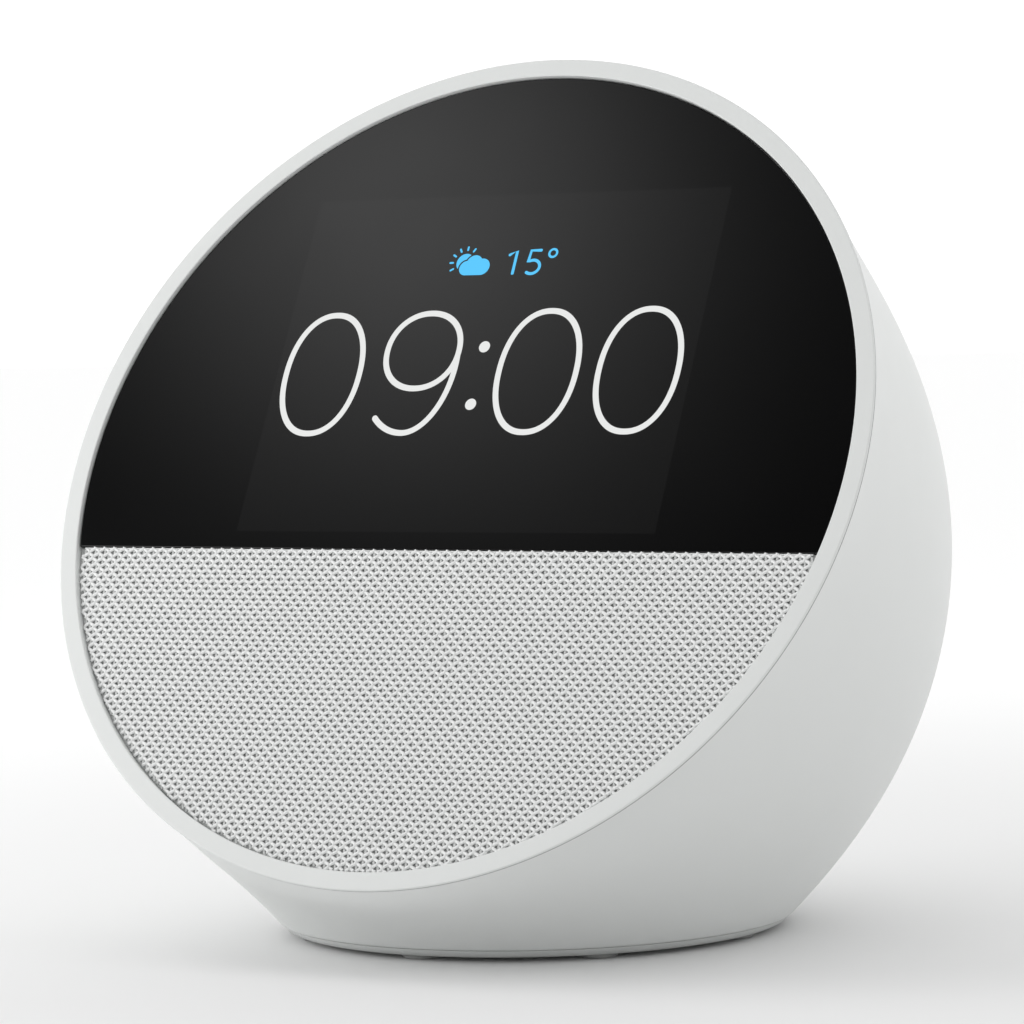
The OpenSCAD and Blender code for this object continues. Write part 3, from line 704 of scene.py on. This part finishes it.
NET_R = OPENING_R - 0.12
NET_TOP = SPLIT_Y - 0.02
CORNER = 1.6           # radius of the outline's two corners
NET_OUT = -RECESS - 0.3
PITCH_X = 1.5          # from one hole to the next across
PITCH_Y = 0.69         # from one row of turns to the next
FRONT_YARN_R, BACK_YARN_R, SELVEDGE_R = 0.215, 0.165, 0.13
TURN_POWER = 0.7       # below 1, so that the zigzag lingers at its turns
FRONT_SWING = 0.07     # how far the front yarns rise at one turn and sink at the next
BACK_SWAY = 0.1
BACK_YARN_DEPTH = 0.2
LINING_DEPTH = 0.36
EDGE_BAND, EDGE_DROP = 0.7, 0.12


def inside(x, y):
    """Distance inside the grille's outline, whose two corners are rounded."""
    a = NET_R - math.hypot(x, y) - CORNER
    b = NET_TOP - y - CORNER
    if a < 0 and b < 0:
        return CORNER - math.hypot(a, b)
    return min(a, b) + CORNER


def settle(x, y, out):
    """A thread bends down around the carrier's round edge."""
    edge = max(0.0, 1 - (NET_R - math.hypot(x, y)) / EDGE_BAND)
    return on_face(x, y, out - EDGE_DROP * edge * edge)


def tube(path, r, sides):
    """A thin round thread along points given on the face as (x, y, out)."""
    rings = []
    for i, (x, y, out) in enumerate(path):
        x0, y0, _ = path[max(i - 1, 0)]
        x1, y1, _ = path[min(i + 1, len(path) - 1)]
        along = Vector((x1 - x0, y1 - y0)).normalized()
        ring = []
        for k in range(sides):
            t = 2 * math.pi * k / sides
            px, py = x - along.y * r * math.cos(t), y + along.x * r * math.cos(t)
            ring.append(settle(px, py, out + r * math.sin(t)))
        rings.append(ring)
    points, faces = loft(rings, closed=False)
    count = len(points)
    faces.append(tuple(range(sides)))
    faces.append(tuple(range(count - sides, count)))
    return points, faces


def runs(path):
    """The stretches of a path that lie inside the outline."""
    stretch = []
    for point in path:
        if inside(point[0], point[1]) > -0.001:
            stretch.append(point)
        else:
            if len(stretch) > 2:
                yield stretch
            stretch = []
    if len(stretch) > 2:
        yield stretch


def net():
    """Zigzag threads that meet at every turn, finer straight ones behind the holes, and a top edge thread."""
    half = PITCH_X / 2
    columns = int(NET_R / half) + 1
    rows = int((NET_R + NET_TOP) / PITCH_Y) + 2
    sub = 3
    parts = []
    for m in range(-columns, columns + 1):
        zigzag = []
        for i in range(rows * sub + 1):
            j = i / sub
            y = NET_TOP - PITCH_Y * j
            phase = math.cos(math.pi * (j + m))
            swing = math.copysign(abs(phase) ** TURN_POWER, phase)
            x = half * (m + 0.5 + 0.5 * swing)
            zigzag.append((x, y, NET_OUT + FRONT_SWING * phase))
        parts += [tube(s, FRONT_YARN_R, 6) for s in runs(zigzag)]
        straight = []
        for i in range(rows * 2 + 1):
            y = NET_TOP - PITCH_Y * i / 2
            x = half * m + BACK_SWAY * math.sin(math.pi * (i / 2 + m))
            straight.append((x, y, NET_OUT - BACK_YARN_DEPTH))
        parts += [tube(s, BACK_YARN_R, 4) for s in runs(straight)]
    reach = math.sqrt(NET_R ** 2 - NET_TOP ** 2) - CORNER / 2
    selvedge = [(reach * i / 120, NET_TOP - SELVEDGE_R, NET_OUT - 0.03) for i in range(-120, 121)]
    parts.append(tube(selvedge, SELVEDGE_R, 6))
    return merge(*parts)


def grille():
    """The net over its flat lining, stretched across the carrier."""
    knit = piece("grille_net", build(*net(), 80), "knit", instead_of=["grille_fabric"])
    steps, bands = 160, 8
    lining_r = NET_R + 0.07     # a little past the net, just short of the rim
    outline = []
    for i in range(steps + 1):
        t = math.pi + math.pi * i / steps
        x, y = lining_r * math.cos(t), NET_TOP + (lining_r + NET_TOP) * math.sin(t)
        limit = math.sqrt(max(0.0, lining_r ** 2 - min(y, 0) ** 2))
        outline.append((max(-limit, min(limit, x)), y))
    rings = []
    for k in range(1, bands + 1):
        ring = [(x * k / bands, NET_TOP + (y - NET_TOP) * k / bands) for x, y in outline]
        rings.append([on_face(x, y, NET_OUT - LINING_DEPTH) for x, y in ring])
    points = [p for ring in rings for p in ring]
    n = steps + 1
    faces = [(a * n + i, a * n + i + 1, (a + 1) * n + i + 1, (a + 1) * n + i)
             for a in range(len(rings) - 1) for i in range(steps)]
    faces.append(tuple(range(n)))
    cloth = piece("grille_lining", build(points, faces), "knit", finish=LINING)


# ---------------------------------------------------------------- buttons and foot

def bar(place, width, height, low, high):
    """A small raised mark with a softened top edge."""
    soft = 0.06
    rings = []
    for grow, h in ((0, low), (0, high - soft), (-soft, high)):
        w, d = width / 2 + grow, height / 2 + grow
        rings.append([place(x, y, h) for x, y in ((-w, -d), (w, -d), (w, d), (-w, d))])
    points, faces = loft(rings, closed=False)
    faces.append(tuple(range(len(points) - 4, len(points))))
    return points, faces


def button(body, a, marks):
    """A domed cap with a flange and a stem below, and its grey mark, which is a dot if it has no bars."""
    node = body + "_button"
    place = on_shell(BUTTON_U, a)
    edge, rise = 0.3, 0.42
    stem_r, stem_low = 1.5, -6.4
    flange_r, flange_low, flange_top = BUTTON_R + 0.9, -3.15, -2.25
    dome = [(BUTTON_R - edge) * (1 - k / 12) for k in range(13)]
    profile = [(0, stem_low), (stem_r, stem_low), (stem_r, flange_low), (flange_r, flange_low)]
    profile += [(flange_r, flange_top), (BUTTON_R, flange_top)]
    profile += arc(BUTTON_R - edge, -edge, edge, 0, 90, 6)[:-1]
    profile += [(r, rise * (1 - (r / (BUTTON_R - edge)) ** 2)) for r in dome]
    piece("cap_" + body, build(*lathe(profile, place, 96)), "shell_plastic", body=body, instead_of=[node])
    low, top, dot_r, soft = 0.2, rise + 0.07, 0.5, 0.06
    shapes = [bar(place, width, height, low, top) for width, height in marks]
    if not marks:
        dot = [(0, low), (dot_r, low), (dot_r, top - soft), (dot_r - soft, top), (0, top)]
        shapes = [lathe(dot, place, 32)]
    piece("mark_" + body, build(*merge(*shapes)), "shell_plastic", body=body, finish=MARK_GREY)


def foot():
    """The plate under the shell, rounded where it turns in, with the pads that it stands on."""
    pad_h = box_mm("base_plate")[0].z
    top = FOOT_Z - 0.04
    low_turn, high_turn = -78, -26     # where the rounded edge starts and ends, in degrees
    seam_in, pads_in = 0.3, 2.0        # how far inside the shell's foot the plate and the pads stay
    turn_r = (top - pad_h) / (math.sin(math.radians(high_turn)) - math.sin(math.radians(low_turn)))
    middle_r = FOOT_R - seam_in - turn_r * math.cos(math.radians(high_turn))
    middle_z = top - turn_r * math.sin(math.radians(high_turn))
    profile = [(0, pad_h)] + arc(middle_r, middle_z, turn_r, low_turn, high_turn, 10) + [(0, top)]
    plate = build(*lathe(profile, standing(0, FOOT_Y), 256))
    # The plate's darker grey is painted shade.
    piece("foot_plate", plate, "shell_plastic", instead_of=["base_plate"], finish=FOOT_SHADED_GREY)

    pad_r, soft, count = 2.6, 0.35, 8
    pad_top = pad_h + 0.15
    pad_out = FOOT_R - pads_in - pad_r
    pad = [(0, 0), (pad_r - soft, 0)] + arc(pad_r - soft, soft, soft, -80, 0, 6)
    pad += [(pad_r, pad_top), (0, pad_top)]
    pads = []
    for k in range(count):
        t = 2 * math.pi * k / count
        place = standing(pad_out * math.sin(t), FOOT_Y - pad_out * math.cos(t))
        pads.append(lathe(pad, place, 48))
    piece("foot_pads", build(*merge(*pads)), "foot_rubber", instead_of=["rubber_feet"])


# ---------------------------------------------------------------- stage, light and camera

MIRRORED = (-0.524, -0.457, 0.719)   # what the camera sees mirrored in the upper left of the glass
ROOM_DARK, ROOM_LIGHT = 0.64, 1.15
ROOM_BRIGHTENS = (-0.5, 0.7, 0.2)    # the room is lightest this way, to the left and behind
SHADOW_FADE_START, SHADOW_FADE_END = 40, 400      # where the floor's painted shadow starts to lighten and where the floor is white


def floor():
    """Pale paper with a painted soft shadow: darker near the object, and white with a faint painted glow further
    out.
    """
    size = 4.0
    corners = [(-size, -size, 0), (size, -size, 0), (size, size, 0), (-size, size, 0)]
    mesh = bpy.data.meshes.new("floor")
    mesh.from_pydata(corners, [], [(0, 1, 2, 3)])
    obj = bpy.data.objects.new("floor", mesh)
    bpy.context.scene.collection.objects.link(obj)
    n = Nodes("floor_paper_painted_shadow")
    apart = n.new("ShaderNodeVectorMath", operation="DISTANCE")
    apart.inputs[1].default_value = (0, FOOT_Y * MM, 0)
    n.link(n.coords, apart.inputs[0])

    def out_of_painted_shadow(low, high):
        """Rises from low in the painted shadow near the object to high where the paper turns white."""
        node = n.new("ShaderNodeMapRange", interpolation_type="SMOOTHSTEP")
        node.inputs["From Min"].default_value = SHADOW_FADE_START * MM
        node.inputs["From Max"].default_value = SHADOW_FADE_END * MM
        node.inputs["To Min"].default_value = low
        node.inputs["To Max"].default_value = high
        n.link(apart.outputs["Value"], node.inputs["Value"])
        return node.outputs["Result"]

    # Painted shadow: the paper's colour and its glow are lower near the object and higher further out.
    n.colour(n.blend(out_of_painted_shadow(0, 1), (0.82, 0.82, 0.82), (0.98, 0.98, 0.98)))
    n.link(out_of_painted_shadow(0, 0.08), n.shader.inputs["Emission Strength"])
    n.set(Roughness=0.9, Emission_Color=(1, 1, 1, 1))
    mesh.materials.append(n.material)


def soft_room():
    """A white room, darker in front and on the right, with a dark card and a glow that the glass mirrors."""
    world = bpy.data.worlds.new("soft_room")
    bpy.context.scene.world = world
    world.use_nodes = True
    tree = world.node_tree
    background = tree.nodes["Background"]
    background.inputs["Color"].default_value = (1, 1, 1, 1)
    direction = tree.nodes.new("ShaderNodeTexCoord").outputs["Generated"]

    def towards(way):
        node = tree.nodes.new("ShaderNodeVectorMath")
        node.operation = "DOT_PRODUCT"
        node.inputs[1].default_value = Vector(way).normalized()
        tree.links.new(direction, node.inputs[0])
        return node.outputs["Value"]

    def ramp(value, start, end, low, high):
        node = tree.nodes.new("ShaderNodeMapRange")
        node.interpolation_type = "SMOOTHSTEP"
        for key, number in zip(("From Min", "From Max", "To Min", "To Max"), (start, end, low, high)):
            node.inputs[key].default_value = number
        tree.links.new(value, node.inputs["Value"])
        return node.outputs["Result"]

    def math_node(operation, value, other):
        node = tree.nodes.new("ShaderNodeMath")
        node.operation = operation
        tree.links.new(value, node.inputs[0])
        if isinstance(other, (int, float)):
            node.inputs[1].default_value = other
        else:
            tree.links.new(other, node.inputs[1])
        return node.outputs[0]

    mirrored = towards(MIRRORED)
    room = ramp(towards(ROOM_BRIGHTENS), -0.9, 0.6, ROOM_DARK, ROOM_LIGHT)
    card_edge, card_core, card_level = 0.45, 0.2, 0.1
    glow_narrowness, glow_level = 675, 2.3
    card = ramp(mirrored, math.cos(card_edge), math.cos(card_core), 1.0, card_level)
    lobe = math_node("POWER", math_node("MAXIMUM", mirrored, 0.0), glow_narrowness)
    glow = math_node("MULTIPLY", lobe, glow_level)
    total = math_node("ADD", math_node("MULTIPLY", room, card), glow)
    tree.links.new(total, background.inputs["Strength"])


def soft_light(name, direction, distance_mm, size_mm, power):
    """A square soft box that looks at the middle of the face."""
    light = bpy.data.lights.new(name, "AREA")
    light.size = size_mm * MM
    light.energy = power
    obj = bpy.data.objects.new(name, light)
    bpy.context.scene.collection.objects.link(obj)
    way = Vector(direction).normalized()
    turn = way.to_track_quat("Z", "Y").to_matrix().to_4x4()
    obj.matrix_world = Matrix.Translation((FACE + distance_mm * way) * MM) @ turn


def camera():
    """The camera stands to the right of the face, a little above its middle."""
    az, el, roll = math.radians(30.27), math.radians(2.83), math.radians(1.42)
    distance, off_x, off_y = 553.6, -7.53, 6.43
    back = Vector((math.sin(az) * math.cos(el), -math.cos(az) * math.cos(el), math.sin(el)))
    level = Vector((math.cos(az), math.sin(az), 0))
    upright = back.cross(level)
    right = math.cos(roll) * level - math.sin(roll) * upright
    up = math.sin(roll) * level + math.cos(roll) * upright
    place = FACE + distance * back - off_x * right - off_y * up
    data = bpy.data.cameras.new("camera")
    data.lens = 158.2
    data.sensor_width = 36
    data.clip_start = 0.01
    obj = bpy.data.objects.new("camera", data)
    bpy.context.scene.collection.objects.link(obj)
    turn = Matrix((right, up, back)).transposed().to_4x4()
    obj.matrix_world = Matrix.Translation(place * MM) @ turn
    bpy.context.scene.camera = obj


# ---------------------------------------------------------------- put together

camera()
rear_shell()
front_rim()
rim_seam_shade()
cover_glass()
piece("clock_digits", build(*clock()), "light_box", finish=DIGIT_WHITE)
piece("weather_sign", build(*weather()), "light_box", finish=SKY_BLUE)
grille()
button("volume_down", -BUTTON_STEP, [(2.4, 0.45)])
button("action", 0, [])
button("volume_up", BUTTON_STEP, [(2.4, 0.45), (0.45, 2.4)])
foot()
floor()
soft_room()
soft_light("key", (-0.85, -0.5, 0.32), 440, 260, 0.66)
bpy.context.scene.view_settings.view_transform = "Standard"
